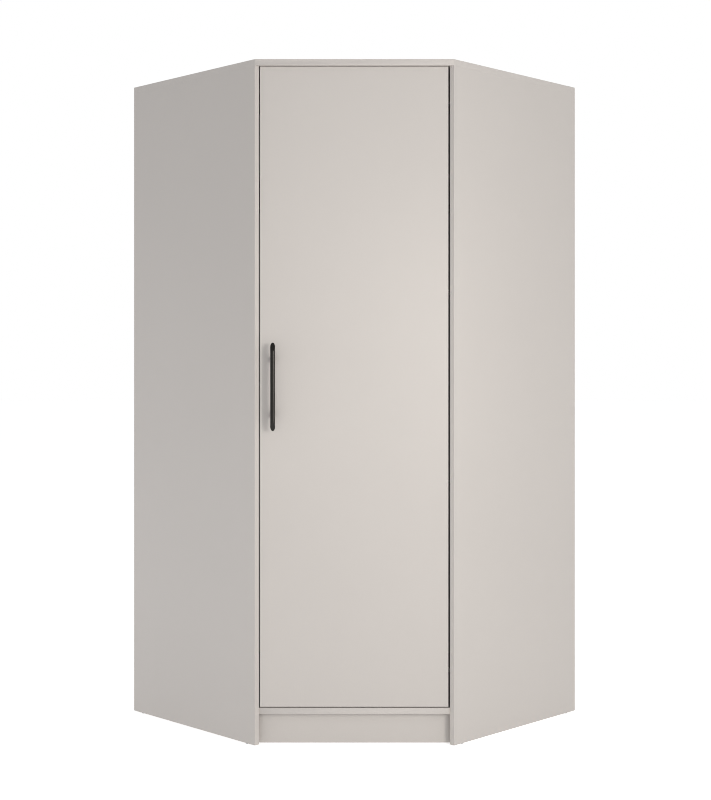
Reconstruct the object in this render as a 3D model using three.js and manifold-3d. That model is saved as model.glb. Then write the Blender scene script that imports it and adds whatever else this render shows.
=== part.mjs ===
// A corner wardrobe with one hinged door, in millimetres, +Z up.
//
// In plan it is a square corner unit with its front corner cut off at 45 degrees:
// two walls of the room meet behind it, a side panel stands square to each wall, and
// the door closes the diagonal opening between the two side panels. The origin is at
// floor level, in the middle of the whole object's box; +Y points into the room's corner.
import * as THREE from "three";
import { mergeVertices } from "three/addons/utils/BufferGeometryUtils.js";
import Module from "manifold-3d";

// ---------------------------------------------------------------- driving dimensions
const HEIGHT = 2000; // floor to the top face
const WALL_LEG = 1000; // length along each wall, measured from the room's corner
const SIDE_DEPTH = 590; // depth of a side panel, wall to front edge
const SIDE_T = 16; // side panels, shelf, plinth, stiles
const TOP_T = 18; // top panel
const BOTTOM_T = 18; // bottom panel
const DOOR_T = 18; // door
const GLIDE_H = 2; // nail-on glides that lift the boards off the floor
const PLINTH_H = 89; // plinth board height
const PLINTH_SETBACK = 33; // plinth face behind the line of the front corners
const BACK_T = 2.7; // hardboard back sheets
const BACK_INSET = 1.2; // a sheet's outer face in front of the wall
const BACK_ZONE = 4.2; // depth kept for the back sheets at the wall
const LIP = 8; // what the rebate for the sheets leaves of a side panel's thickness
const TOP_REBATE = 9; // how far the sheets reach up into the top panel
const STILE_W = 80; // rear corner stiles, one on each wall
const SHELF_TOP = 1676; // top face of the hat shelf
const SHELF_FRONT = 75; // front edge of the hat shelf

const DOOR_LEFT = -276; // free edge
const DOOR_RIGHT = 274; // hinge edge
const DOOR_LOW = 112;
const DOOR_HIGH = 1980.5;

const PIVOT_X = 262; // hinge pin line, inside the cup
const PIVOT_IN = 11; // hinge pin line behind the door's front face
const CUP_EDGE = 22.5; // cup centre from the hinge edge
const CUP_R = 17.5;
const CUP_DEPTH = 12;
const HINGE_Z = [213, 768, 1323, 1879];

const HANDLE_X = -237.1;
const HANDLE_Z = 1046;
const HANDLE_L = 258;
const HANDLE_R = 7;
const HANDLE_CUT = 25; // length of the slanting cut at each end of the bar
const HANDLE_AXIS_OUT = 31; // bar axis in front of the door's face
const HANDLE_PITCH = 160; // between the two posts
const POST_TALL = 16; // the posts are oval: taller than wide, so that the bar hides them
const POST_WIDE = 10;

const RAIL_L = 900;
const RAIL_Y = 430;
const RAIL_Z = 1612;
const RAIL_TALL = 30;
const RAIL_THICK = 15;
const RAIL_WALL = 1.2;
const BRACKET_X = [-425, 0, 425];

const CAM_R = 7.4;
const CAM_DEPTH = 12.4;
const CAM_FROM_EDGE = 34;

const GAP = 0.3; // play between touching pieces in turned groups

// ---------------------------------------------------------------- derived plan points
// Plan frame used below: X = 0 is the plane of symmetry, Y = 0 passes through the two
// outer front corners, and the room's corner is at (0, CORNER_Y).
const S = Math.SQRT1_2;
const CORNER_Y = (WALL_LEG + SIDE_DEPTH) * S;
const FRONT_X = (WALL_LEG - SIDE_DEPTH) * S; // outer front corners
const FACE_Y = SIDE_T * S; // inner front corners, and the door's front face
const INNER = FRONT_X - SIDE_T * Math.SQRT2; // inner faces lie on |x| - y = INNER
const HANDLE_Y = FACE_Y - HANDLE_AXIS_OUT;
const Y_MIN = HANDLE_Y - HANDLE_R;
const Y_CENTRE = (CORNER_Y + Y_MIN) / 2;
const BOARD_Z = GLIDE_H;
const BOTTOM_Z = BOARD_Z + PLINTH_H;
const FLOOR_Z = BOTTOM_Z + BOTTOM_T;
const TOP_Z = HEIGHT - TOP_T;
const MID_Z = 1046; // level of the handle and of the joint between the back sheets
const DOOR_BACK = FACE_Y + DOOR_T;
const PIVOT_Y = FACE_Y + PIVOT_IN;
const CUP_X = DOOR_RIGHT - CUP_EDGE;

// ---------------------------------------------------------------- solids
const wasm = await Module();
wasm.setup();

function solid(geometry) {
  const g = geometry.clone();
  g.deleteAttribute("normal");
  g.deleteAttribute("uv");
  const merged = mergeVertices(g, 1e-4);
  return new wasm.Manifold(
    new wasm.Mesh({
      numProp: 3,
      vertProperties: new Float32Array(merged.attributes.position.array),
      triVerts: new Uint32Array(merged.index.array),
    }),
  );
}

function geometryOf(body) {
  const mesh = body.getMesh();
  const g = new THREE.BufferGeometry();
  g.setAttribute("position", new THREE.BufferAttribute(new Float32Array(mesh.vertProperties), 3));
  g.setIndex(new THREE.BufferAttribute(new Uint32Array(mesh.triVerts), 1));
  g.computeVertexNormals();
  return g;
}

const minus = (a, ...others) => geometryOf(others.reduce((s, o) => s.subtract(solid(o)), solid(a)));
const plus = (a, ...others) => geometryOf(others.reduce((s, o) => s.add(solid(o)), solid(a)));

// A flat outline in plan, extruded from z0 to z1.
function prism(points, z0, z1, holes = []) {
  const shape = new THREE.Shape(points.map(([x, y]) => new THREE.Vector2(x, y)));
  for (const h of holes) shape.holes.push(new THREE.Path(h.map(([x, y]) => new THREE.Vector2(x, y))));
  const g = new THREE.ExtrudeGeometry(shape, { depth: z1 - z0, bevelEnabled: false, steps: 1 });
  return g.translate(0, 0, z0);
}

// A box given by its two opposite corners.
function block(x0, x1, y0, y1, z0, z1) {
  const g = new THREE.BoxGeometry(x1 - x0, y1 - y0, z1 - z0);
  return g.translate((x0 + x1) / 2, (y0 + y1) / 2, (z0 + z1) / 2);
}

// Round bars along Y and along Z, each from its lower to its upper end.
function rodY(r, x, z, y0, y1, sides = 24) {
  return new THREE.CylinderGeometry(r, r, y1 - y0, sides).translate(x, (y0 + y1) / 2, z);
}
function rodZ(r, x, y, z0, z1, sides = 24) {
  return new THREE.CylinderGeometry(r, r, z1 - z0, sides)
    .rotateX(Math.PI / 2)
    .translate(x, y, (z0 + z1) / 2);
}

// ---------------------------------------------------------------- finishes
const paint = (color, roughness, metalness) => () =>
  new THREE.MeshStandardMaterial({ color, roughness, metalness });
const board = paint(0xcac3bc, 0.62, 0.0); // warm grey-beige melamine
const hardboard = paint(0xb9a68b, 0.85, 0.0);
const black = paint(0x24221f, 0.38, 0.75);
const nickel = paint(0xb8b7b2, 0.32, 0.95);
const darkNickel = paint(0x57544f, 0.36, 0.9);
const zinc = paint(0x9c9c98, 0.45, 0.9);
const white = paint(0xdedad4, 0.5, 0.0);
const dark = paint(0x3a3835, 0.6, 0.0);

const wardrobe = new THREE.Group();
wardrobe.position.y = -Y_CENTRE;

function piece(parent, name, geometry, finish, x = 0, y = 0, z = 0) {
  const mesh = new THREE.Mesh(geometry, finish());
  mesh.name = name;
  mesh.position.set(x, y, z);
  parent.add(mesh);
  return mesh;
}

// ---------------------------------------------------------------- horizontal boards
const clear = GAP * Math.SQRT2; // the same play measured along X or Y on a 45 degree face

function pentagon(frontY, inner, wallPlay, rearCut = 0) {
  const wall = CORNER_Y - (BACK_ZONE + wallPlay) * Math.SQRT2; // |x| + y = wall
  const sideY = (wall - inner) / 2;
  const right = [
    [inner + frontY, frontY],
    [inner + sideY, sideY],
  ];
  const rear = rearCut
    ? [
        [wall - (CORNER_Y - rearCut * S), CORNER_Y - rearCut * S],
        [-(wall - (CORNER_Y - rearCut * S)), CORNER_Y - rearCut * S],
      ]
    : [[0, wall]];
  return [...right, ...rear, ...right.slice().reverse().map(([x, y]) => [-x, y])];
}

// A box against one of the walls: u runs along the wall from the room's corner, v into the room.
const atWall = (sign, u0, u1, v0, v1, z0, z1) =>
  block(u0, u1, Math.min(-sign * v0, -sign * v1), Math.max(-sign * v0, -sign * v1), z0, z1)
    .rotateZ(sign > 0 ? -Math.PI / 4 : (-3 * Math.PI) / 4)
    .translate(0, CORNER_Y, 0);

// The top lies over both side panels, flush with their outer faces, and reaches the walls.
// A stopped rebate under each rear edge takes the back sheets.
piece(
  wardrobe,
  "top_panel",
  minus(
    prism(pentagon(0, FRONT_X, -BACK_ZONE), 0, TOP_T),
    ...[-1, 1].map((sign) => atWall(sign, -5, WALL_LEG - LIP, -5, BACK_ZONE + 0.2, -1, TOP_REBATE)),
  ),
  board,
  0,
  0,
  TOP_Z,
);

// Pockets for the cam locks, bored up into the bottom panel next to each side panel.
const sidePoint = (sign, along, inward) => {
  const x = FRONT_X + (along - inward) * S;
  return [sign * x, (along + inward) * S];
};
const BOTTOM_CAMS = [
  ["bottom_cam_left_front", -1, 70],
  ["bottom_cam_left_rear", -1, 500],
  ["bottom_cam_right_front", 1, 70],
  ["bottom_cam_right_rear", 1, 500],
];
const bottomPockets = BOTTOM_CAMS.map(([, sign, along]) => {
  const [x, y] = sidePoint(sign, along, SIDE_T + CAM_FROM_EDGE);
  return rodZ(CAM_R + GAP, x, y, -1, CAM_DEPTH + GAP);
});
piece(
  wardrobe,
  "bottom_panel",
  minus(prism(pentagon(FACE_Y, INNER - clear, 0.2), 0, BOTTOM_T), ...bottomPockets),
  board,
  0,
  0,
  BOTTOM_Z,
);
for (const [name, sign, along] of BOTTOM_CAMS) {
  const [x, y] = sidePoint(sign, along, SIDE_T + CAM_FROM_EDGE);
  piece(wardrobe, name, rodZ(CAM_R, 0, 0, 0, CAM_DEPTH), zinc, x, y, BOTTOM_Z);
}

// The hat shelf stops short of the rear stiles, so its rear corner is cut straight.
piece(
  wardrobe,
  "hat_shelf",
  prism(pentagon(SHELF_FRONT, INNER - clear, 0.2, STILE_W + BACK_ZONE + SIDE_T + 1), 0, SIDE_T),
  board,
  0,
  0,
  SHELF_TOP - SIDE_T,
);

// ---------------------------------------------------------------- plinth
const plinthX = (y) => INNER - clear + y;
piece(
  wardrobe,
  "plinth_front",
  prism(
    [
      [-plinthX(PLINTH_SETBACK), PLINTH_SETBACK],
      [plinthX(PLINTH_SETBACK), PLINTH_SETBACK],
      [plinthX(PLINTH_SETBACK + SIDE_T), PLINTH_SETBACK + SIDE_T],
      [-plinthX(PLINTH_SETBACK + SIDE_T), PLINTH_SETBACK + SIDE_T],
    ],
    0,
    PLINTH_H,
  ),
  board,
  0,
  0,
  BOARD_Z,
);
const BRACE_FROM = PLINTH_SETBACK + SIDE_T + GAP;
const BRACE_TO = 1060;
piece(
  wardrobe,
  "plinth_brace",
  block(-SIDE_T / 2, SIDE_T / 2, 0, BRACE_TO - BRACE_FROM, 0, PLINTH_H),
  board,
  0,
  BRACE_FROM,
  BOARD_Z,
);
const glide = () => rodZ(SIDE_T / 2 - 1, 0, 0, 0, GLIDE_H);
piece(wardrobe, "floor_glide_brace_front", glide(), dark, 0, 120, 0);
piece(wardrobe, "floor_glide_brace_rear", glide(), dark, 0, 1030, 0);

// ---------------------------------------------------------------- side panels
// Each side group has its origin at the outer front corner; its X runs along the panel
// towards the wall, and the inside of the wardrobe is on the side given by `inside`.
for (const [side, sign] of [
  ["left", -1],
  ["right", 1],
]) {
  const group = new THREE.Group();
  group.position.set(sign * FRONT_X, 0, 0);
  group.rotation.z = sign > 0 ? Math.PI / 4 : (3 * Math.PI) / 4;
  wardrobe.add(group);
  const inside = sign;
  const y = (depth) => inside * depth;
  const span = (a, b) => [Math.min(y(a), y(b)), Math.max(y(a), y(b))];

  const camZ = TOP_Z - BOARD_Z - CAM_FROM_EDGE;
  const camX = [70, 515];
  const pockets = camX.map((x) => rodY(CAM_R + GAP, x, camZ, ...span(SIDE_T - CAM_DEPTH - GAP, SIDE_T + 1)));
  piece(
    group,
    `side_panel_${side}`,
    minus(
      block(0, SIDE_DEPTH, ...span(0, SIDE_T), 0, TOP_Z - BOARD_Z),
      block(SIDE_DEPTH - BACK_ZONE, SIDE_DEPTH + 1, ...span(LIP, SIDE_T + 1), -1, TOP_Z - BOARD_Z + 1),
      ...pockets,
    ),
    board,
    0,
    0,
    BOARD_Z,
  );
  ["front", "rear"].forEach((where, i) => {
    piece(
      group,
      `top_cam_${side}_${where}`,
      rodY(CAM_R, 0, 0, ...span(0, CAM_DEPTH)),
      zinc,
      camX[i],
      y(SIDE_T - CAM_DEPTH),
      BOARD_Z + camZ,
    );
    piece(group, `floor_glide_${side}_${where}`, glide(), dark, i ? 547 : 40, y(SIDE_T / 2), 0);
  });
}

// ---------------------------------------------------------------- back, at the two walls
// Each wall group has its origin in the room's corner; its X runs along the wall, away
// from the corner, and the wardrobe is on the side given by `inside`.
const SHEET_LOW = BOTTOM_Z + 2;
const SHEET_HIGH = TOP_Z + TOP_REBATE - 0.5;
const STRIP_HALF = 7;
for (const [side, sign] of [
  ["left", -1],
  ["right", 1],
]) {
  const group = new THREE.Group();
  group.position.set(0, CORNER_Y, 0);
  group.rotation.z = sign > 0 ? -Math.PI / 4 : (-3 * Math.PI) / 4;
  wardrobe.add(group);
  const inside = -sign;
  const span = (a, b) => [Math.min(inside * a, inside * b), Math.max(inside * a, inside * b)];

  const from = sign < 0 ? BACK_INSET + 0.1 : BACK_ZONE + 0.1;
  const sheet = (h) => block(from, WALL_LEG - LIP - GAP, ...span(BACK_INSET, BACK_INSET + BACK_T), 0, h);
  piece(group, `back_sheet_${side}_lower`, sheet(MID_Z - 0.9 - SHEET_LOW), hardboard, 0, 0, SHEET_LOW);
  piece(group, `back_sheet_${side}_upper`, sheet(SHEET_HIGH - MID_Z - 0.9), hardboard, 0, 0, MID_Z + 0.9);

  // The H-section strip that joins the two sheets, from the corner stile to the side panel.
  const h = [
    [-1.1, -STRIP_HALF],
    [-0.2, -STRIP_HALF],
    [-0.2, -0.6],
    [2.9, -0.6],
    [2.9, -STRIP_HALF],
    [3.8, -STRIP_HALF],
    [3.8, STRIP_HALF],
    [2.9, STRIP_HALF],
    [2.9, 0.6],
    [-0.2, 0.6],
    [-0.2, STRIP_HALF],
    [-1.1, STRIP_HALF],
  ].map(([v, w]) => [inside * (BACK_INSET + v), w]);
  const stripL = WALL_LEG - SIDE_T - 1 - (STILE_W + 1);
  // extruded along the group's Z, then turned so that it runs along X
  const strip = prism(h, 0, stripL).applyMatrix4(
    new THREE.Matrix4().set(0, 0, 1, 0, 1, 0, 0, 0, 0, 1, 0, 0, 0, 0, 0, 1),
  );
  piece(group, `back_joining_strip_${side}`, strip, white, STILE_W + 1, 0, MID_Z);

  const stileFrom = sign < 0 ? BACK_ZONE + GAP : BACK_ZONE + SIDE_T + 2 * GAP;
  piece(
    group,
    `corner_stile_${side}`,
    block(stileFrom, STILE_W, ...span(BACK_ZONE + 0.1, BACK_ZONE + 0.1 + SIDE_T), 0, TOP_Z - FLOOR_Z),
    board,
    0,
    0,
    FLOOR_Z,
  );

  // Steel angle under the top panel; a screw goes through it and the back into the wall.
  const angle = [
    [0, 0],
    [40, 0],
    [40, -2],
    [2, -2],
    [2, -40],
    [0, -40],
  ].map(([v, w]) => [inside * v, w]);
  const bracket = prism(angle, -10, 10).applyMatrix4(
    new THREE.Matrix4().set(0, 0, 1, 0, 1, 0, 0, 0, 0, 1, 0, 0, 0, 0, 0, 1),
  );
  piece(group, `wall_bracket_${side}`, bracket, zinc, 500, inside * (BACK_ZONE + 0.2), TOP_Z - 0.2);
}

// ---------------------------------------------------------------- hanging rail
function stadium(tall, thick, n = 8) {
  const r = thick / 2;
  const points = [];
  for (let i = 0; i <= n; i++) {
    const a = -Math.PI / 2 + (Math.PI * i) / n;
    points.push([tall / 2 - r + r * Math.cos(a), r * Math.sin(a)]);
  }
  for (let i = 0; i <= n; i++) {
    const a = Math.PI / 2 + (Math.PI * i) / n;
    points.push([-(tall / 2 - r) + r * Math.cos(a), r * Math.sin(a)]);
  }
  return points;
}
// drawn with the tall side along X and the length along Z, then turned to lie along X
const alongX = (g) => g.rotateY(Math.PI / 2);
piece(
  wardrobe,
  "hanging_rail",
  alongX(
    prism(stadium(RAIL_TALL, RAIL_THICK), -RAIL_L / 2, RAIL_L / 2, [
      stadium(RAIL_TALL - 2 * RAIL_WALL, RAIL_THICK - 2 * RAIL_WALL),
    ]),
  ),
  nickel,
  0,
  RAIL_Y,
  RAIL_Z,
);
const DROP = SHELF_TOP - SIDE_T - RAIL_Z;
["left", "centre", "right"].forEach((where, i) => {
  const ring = alongX(
    prism(stadium(RAIL_TALL + 6, RAIL_THICK + 6), -6, 6, [stadium(RAIL_TALL + 0.6, RAIL_THICK + 0.6)]),
  );
  const stem = block(-6, 6, -4, 4, RAIL_TALL / 2 + 1.5, DROP - 1);
  const plate = block(-22, 22, -11, 11, DROP - 2.5, DROP);
  piece(wardrobe, `rail_bracket_${where}`, plus(ring, stem, plate), nickel, BRACKET_X[i], RAIL_Y, RAIL_Z);
});

// ---------------------------------------------------------------- door stops
piece(wardrobe, "door_stop_upper", block(0, 24, 0, 12, -12, 0), white, -262, DOOR_BACK + 0.5, TOP_Z);
piece(wardrobe, "door_stop_lower", block(0, 24, 0, 12, 0, 12), white, -262, DOOR_BACK + 0.5, FLOOR_Z);

// ---------------------------------------------------------------- door
const door = new THREE.Group();
wardrobe.add(door);
const cupHoles = HINGE_Z.map((z) => rodY(CUP_R + GAP, CUP_X, z, DOOR_BACK - CUP_DEPTH - GAP, DOOR_BACK + 1, 36));
const postZ = { upper: HANDLE_Z + HANDLE_PITCH / 2, lower: HANDLE_Z - HANDLE_PITCH / 2 };
const screwHoles = Object.values(postZ).map((z) => rodY(2.4, HANDLE_X, z, FACE_Y - 1, DOOR_BACK + 1, 16));
piece(
  door,
  "door_panel",
  minus(block(DOOR_LEFT, DOOR_RIGHT, FACE_Y, DOOR_BACK, DOOR_LOW, DOOR_HIGH), ...cupHoles, ...screwHoles),
  board,
);

// The bar is round, and each end is cut on a slant that faces the room.
const half = HANDLE_L / 2;
const slant = (way) =>
  prism(
    [
      [-HANDLE_R - 0.6, half - HANDLE_CUT - 0.6 * (HANDLE_CUT / (2 * HANDLE_R))],
      [HANDLE_R + 0.6, half + 0.6 * (HANDLE_CUT / (2 * HANDLE_R))],
      [HANDLE_R + 0.6, half + 20],
      [-HANDLE_R - 0.6, half + 20],
    ].map(([y, z]) => [y, way * z]),
    -HANDLE_R - 2,
    HANDLE_R + 2,
  ).applyMatrix4(new THREE.Matrix4().set(0, 0, 1, 0, 1, 0, 0, 0, 0, 1, 0, 0, 0, 0, 0, 1));
piece(
  door,
  "handle_bar",
  minus(rodZ(HANDLE_R, 0, 0, -half, half, 32), slant(1), slant(-1)),
  black,
  HANDLE_X,
  HANDLE_Y,
  HANDLE_Z,
);
function postBlock(length, steps = 14) {
  const r = POST_WIDE / 2;
  const arc = (way) =>
    Array.from({ length: steps + 1 }, (_, i) => {
      const a = (Math.PI * i) / steps + (way > 0 ? 0 : Math.PI);
      return [r * Math.cos(a), r * Math.sin(a) + way * (POST_TALL / 2 - r)];
    });
  return prism([...arc(1), ...arc(-1)], 0, length).applyMatrix4(
    new THREE.Matrix4().set(-1, 0, 0, 0, 0, 0, 1, 0, 0, 1, 0, 0, 0, 0, 0, 1),
  );
}
for (const [where, z] of Object.entries(postZ)) {
  // saddle end against the bar, flat end on the door with a blind hole for the screw
  const post = minus(
    postBlock(HANDLE_AXIS_OUT - 0.05),
    rodZ(HANDLE_R + GAP, 0, 0, -20, 20, 32),
    rodY(2.3, 0, 0, HANDLE_AXIS_OUT - 11, HANDLE_AXIS_OUT + 1, 16),
  );
  piece(door, `handle_post_${where}`, post, black, HANDLE_X, HANDLE_Y, z);
  const screw = plus(rodY(2, 0, 0, -8, DOOR_T + 0.5, 16), rodY(4.2, 0, 0, DOOR_T + 0.1, DOOR_T + 2.4, 20));
  piece(door, `handle_screw_${where}`, screw, zinc, HANDLE_X, FACE_Y, z);
}

// ---------------------------------------------------------------- hinges
// Cup hinges for an inset door that meets the side panel at 135 degrees. The cup and its
// pin are in the door; the arm is screwed to a plate on the right side panel, and its
// curved neck reaches round the door's edge into the cup.
// A point on the right side panel: a = along it from the inner front corner, h = off its face.
const off = (a, h) => [FRONT_X - SIDE_T * S + (a - h) * S, FACE_Y + (a + h) * S];

// A strip with its own half width at each point of its centre line.
function strip(points) {
  const left = [];
  const right = [];
  points.forEach(([x, y, w], i) => {
    const [ax, ay] = points[Math.max(i - 1, 0)];
    const [bx, by] = points[Math.min(i + 1, points.length - 1)];
    const l = Math.hypot(bx - ax, by - ay);
    const nx = -(by - ay) / l;
    const ny = (bx - ax) / l;
    left.push([x + nx * w, y + ny * w]);
    right.unshift([x - nx * w, y - ny * w]);
  });
  return [...left, ...right];
}
const px = PIVOT_X;
const py = PIVOT_Y;
const neck = [
  [px - 1.0, py + 0.3, 1.1],
  [px - 8.5, py + 2.7, 1.1],
  [px - 17.0, py + 5.4, 1.2],
  [px - 20.6, py + 7.4, 1.3],
  [px - 22.8, py + 10.6, 1.5],
  [px - 22.6, py + 14.6, 1.9],
  [px - 20.0, py + 18.4, 2.4],
  [px - 15.6, py + 21.4, 2.9],
  [px - 9.0, py + 23.2, 3.3],
  [px - 1.0, py + 23.9, 3.6],
  [px + 8.0, py + 23.9, 3.8],
  [px + 17.0, py + 23.2, 3.9],
  [px + 24.5, py + 22.2, 4.0],
  [px + 31.0, py + 20.4, 4.0],
];
const wing = (pts, z0, z1) => prism(pts, z0, z1);
const rect = (a0, a1, h0, h1) => [off(a0, h0), off(a1, h0), off(a1, h1), off(a0, h1)];
["bottom", "lower", "upper", "top"].forEach((where, i) => {
  const unit = new THREE.Group();
  unit.position.z = HINGE_Z[i];
  wardrobe.add(unit);
  const arm = solid(wing(strip(neck), -5, 5))
    .add(solid(rodZ(3.4, px, py, -5, 5, 20)))
    .add(solid(wing(rect(23, 62, 6.3, 14.2), -5.5, 5.5)))
    .subtract(solid(rodZ(1.8, px, py, -8, 8, 16)));
  piece(unit, `hinge_arm_${where}`, geometryOf(arm), darkNickel);
  piece(
    unit,
    `hinge_plate_${where}`,
    plus(wing(rect(20, 66, GAP, 6), -6, 6), wing(rect(30, 50, GAP, 3.2), -27, 27)),
    darkNickel,
  );

  const moving = new THREE.Group();
  moving.position.z = HINGE_Z[i];
  door.add(moving);
  const shell = new THREE.LatheGeometry(
    [
      [0, 0],
      [CUP_R, 0],
      [CUP_R, CUP_DEPTH + 0.1],
      [20.5, CUP_DEPTH + 0.1],
      [20.5, CUP_DEPTH + 1.1],
      [CUP_R - 1, CUP_DEPTH + 1.1],
      [CUP_R - 1, 1],
      [0, 1],
    ].map(([r, d]) => new THREE.Vector2(r, d)),
    36,
  );
  const wings = block(-17, -2, CUP_DEPTH + 0.1, CUP_DEPTH + 1.1, -29, 29);
  const cup = solid(shell)
    .add(solid(wings))
    .subtract(solid(rodY(CUP_R - 1, 0, 0, 1, CUP_DEPTH + 3, 36)))
    .subtract(solid(rodZ(1.8, px - CUP_X, py - (DOOR_BACK - CUP_DEPTH), -16, 16, 16)));
  piece(moving, `hinge_cup_${where}`, geometryOf(cup), darkNickel, CUP_X, DOOR_BACK - CUP_DEPTH, 0);
  piece(moving, `hinge_pin_${where}`, rodZ(1.5, 0, 0, -12.85, 12.85, 16), zinc, px, py, 0);
});

export default wardrobe;
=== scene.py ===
import math

import bmesh
import bpy
from mathutils import Matrix, Vector


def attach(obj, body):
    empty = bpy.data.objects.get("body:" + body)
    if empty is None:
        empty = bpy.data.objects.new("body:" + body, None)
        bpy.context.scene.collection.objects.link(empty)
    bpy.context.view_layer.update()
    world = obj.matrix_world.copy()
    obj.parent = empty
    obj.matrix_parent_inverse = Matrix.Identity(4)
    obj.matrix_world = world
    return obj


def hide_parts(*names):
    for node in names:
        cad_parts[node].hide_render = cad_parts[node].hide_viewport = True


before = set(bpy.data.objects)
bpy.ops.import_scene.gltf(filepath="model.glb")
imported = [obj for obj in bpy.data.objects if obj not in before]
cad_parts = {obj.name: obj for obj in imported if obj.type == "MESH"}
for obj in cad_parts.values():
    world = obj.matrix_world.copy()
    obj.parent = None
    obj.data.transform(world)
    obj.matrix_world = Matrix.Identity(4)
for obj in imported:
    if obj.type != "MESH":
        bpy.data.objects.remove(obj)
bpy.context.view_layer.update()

# ------------------------------------------------------------------ dimensions, millimetres
S = math.sqrt(0.5)
HEIGHT, LEG, DEPTH = 2000.0, 1000.0, 590.0
SIDE_T, TOP_T, BOTTOM_T, DOOR_T = 16.0, 18.0, 18.0, 18.0
GLIDE_H, PLINTH_H, PLINTH_SETBACK = 2.0, 89.0, 33.0
BACK_T, BACK_ZONE, STILE_W = 2.7, 4.2, 80.0
BACK_INSET, LIP, TOP_REBATE = 1.2, 8.0, 9.0
SHELF_TOP, SHELF_FRONT = 1676.0, 75.0
DOOR_LEFT, DOOR_RIGHT, DOOR_LOW, DOOR_HIGH = -276.0, 274.0, 112.0, 1980.5
CORNER_Y = (LEG + DEPTH) * S
FRONT_X = (LEG - DEPTH) * S
FACE_Y = SIDE_T * S
INNER = FRONT_X - SIDE_T * math.sqrt(2)
PIVOT_X, PIVOT_Y = 262.0, FACE_Y + 11.0
CUP_X, CUP_R, CUP_DEPTH = DOOR_RIGHT - 22.5, 17.5, 12.0
HINGE_Z = {"bottom": 213.0, "lower": 768.0, "upper": 1323.0, "top": 1879.0}
HANDLE_X, HANDLE_Z, HANDLE_L, HANDLE_R, HANDLE_CUT = -237.1, 1046.0, 258.0, 7.0, 25.0
HANDLE_Y = FACE_Y - 31.0
POST_TALL, POST_WIDE = 16.0, 10.0
POST_Z = {"upper": HANDLE_Z + 80.0, "lower": HANDLE_Z - 80.0}
RAIL_L, RAIL_Y, RAIL_Z = 900.0, 430.0, 1612.0
BRACKET_X = {"left": -425.0, "centre": 0.0, "right": 425.0}
CAM_R, CAM_DEPTH, CAM_FROM_EDGE = 7.4, 12.4, 34.0
Y_CENTRE = (CORNER_Y + HANDLE_Y - HANDLE_R) / 2
BOTTOM_Z = GLIDE_H + PLINTH_H
FLOOR_Z = BOTTOM_Z + BOTTOM_T
TOP_Z = HEIGHT - TOP_T
MID_Z = 1046.0
DOOR_BACK = FACE_Y + DOOR_T
GAP = 0.3

PLAN = Matrix.Scale(0.001, 4) @ Matrix.Translation((0, -Y_CENTRE, 0))
SIDE = {
    s: PLAN @ Matrix.Translation((s * FRONT_X, 0, 0)) @ Matrix.Rotation(math.radians(45 if s > 0 else 135), 4, "Z")
    for s in (-1, 1)
}
WALL = {
    s: PLAN @ Matrix.Translation((0, CORNER_Y, 0)) @ Matrix.Rotation(math.radians(-45 if s > 0 else -135), 4, "Z")
    for s in (-1, 1)
}
SIGNS = {"left": -1, "right": 1}

# ------------------------------------------------------------------ camera
scene = bpy.context.scene
cam = bpy.data.objects.new("camera", bpy.data.cameras.new("camera"))
scene.collection.objects.link(cam)
cam.data.sensor_width = 36.0
cam.data.lens = 1398.25 * 36.0 / 800.0
cam.data.shift_x = 0.0013
cam.data.shift_y = -0.04125
cam.data.clip_start, cam.data.clip_end = 0.05, 100.0
cam.location = (0.0, (-4069.0 - Y_CENTRE) / 1000, 1.1036)
cam.rotation_euler = (math.radians(90), 0, 0)
scene.camera = cam


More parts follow.
